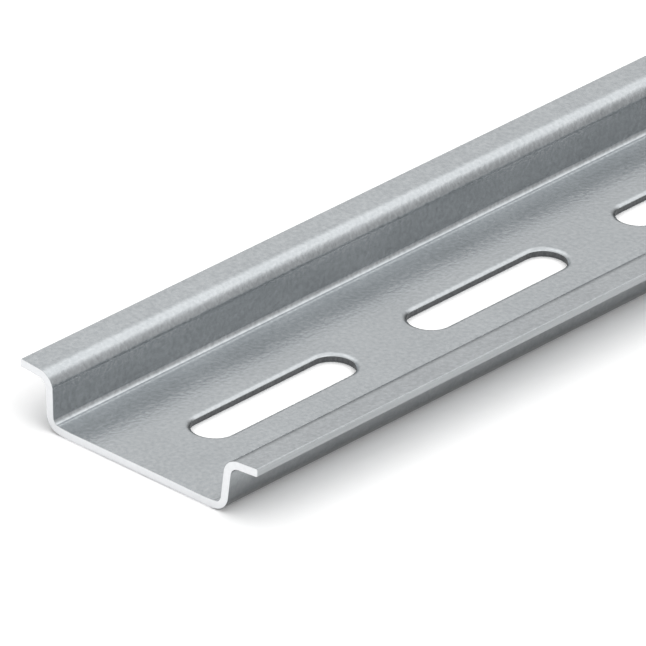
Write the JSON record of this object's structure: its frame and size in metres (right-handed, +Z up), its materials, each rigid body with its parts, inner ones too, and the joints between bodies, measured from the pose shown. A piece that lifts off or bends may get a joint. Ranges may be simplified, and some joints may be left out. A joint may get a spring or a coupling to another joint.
{
  "type": "din rail",
  "caption": "Slotted top hat mounting rail, 35 mm wide, rolled from thin zinc-plated steel, for clip-on electrical modules in a cabinet.",
  "frame": {"origin": "middle of the rail's length and width, on the underside of its base", "axes": "+X along the rail; the end in the picture is at -X. +Y across the rail, towards the flange that is farther from the camera. +Z up, from the base towards the flanges"},
  "size_m": [1, 0.035, 0.0073],
  "materials": {
    "zinc_steel": "satin zinc plate over cold rolled steel"
  },
  "bodies": {
    "root": {"rail": "zinc_steel"}
  },
  "joints": []
}
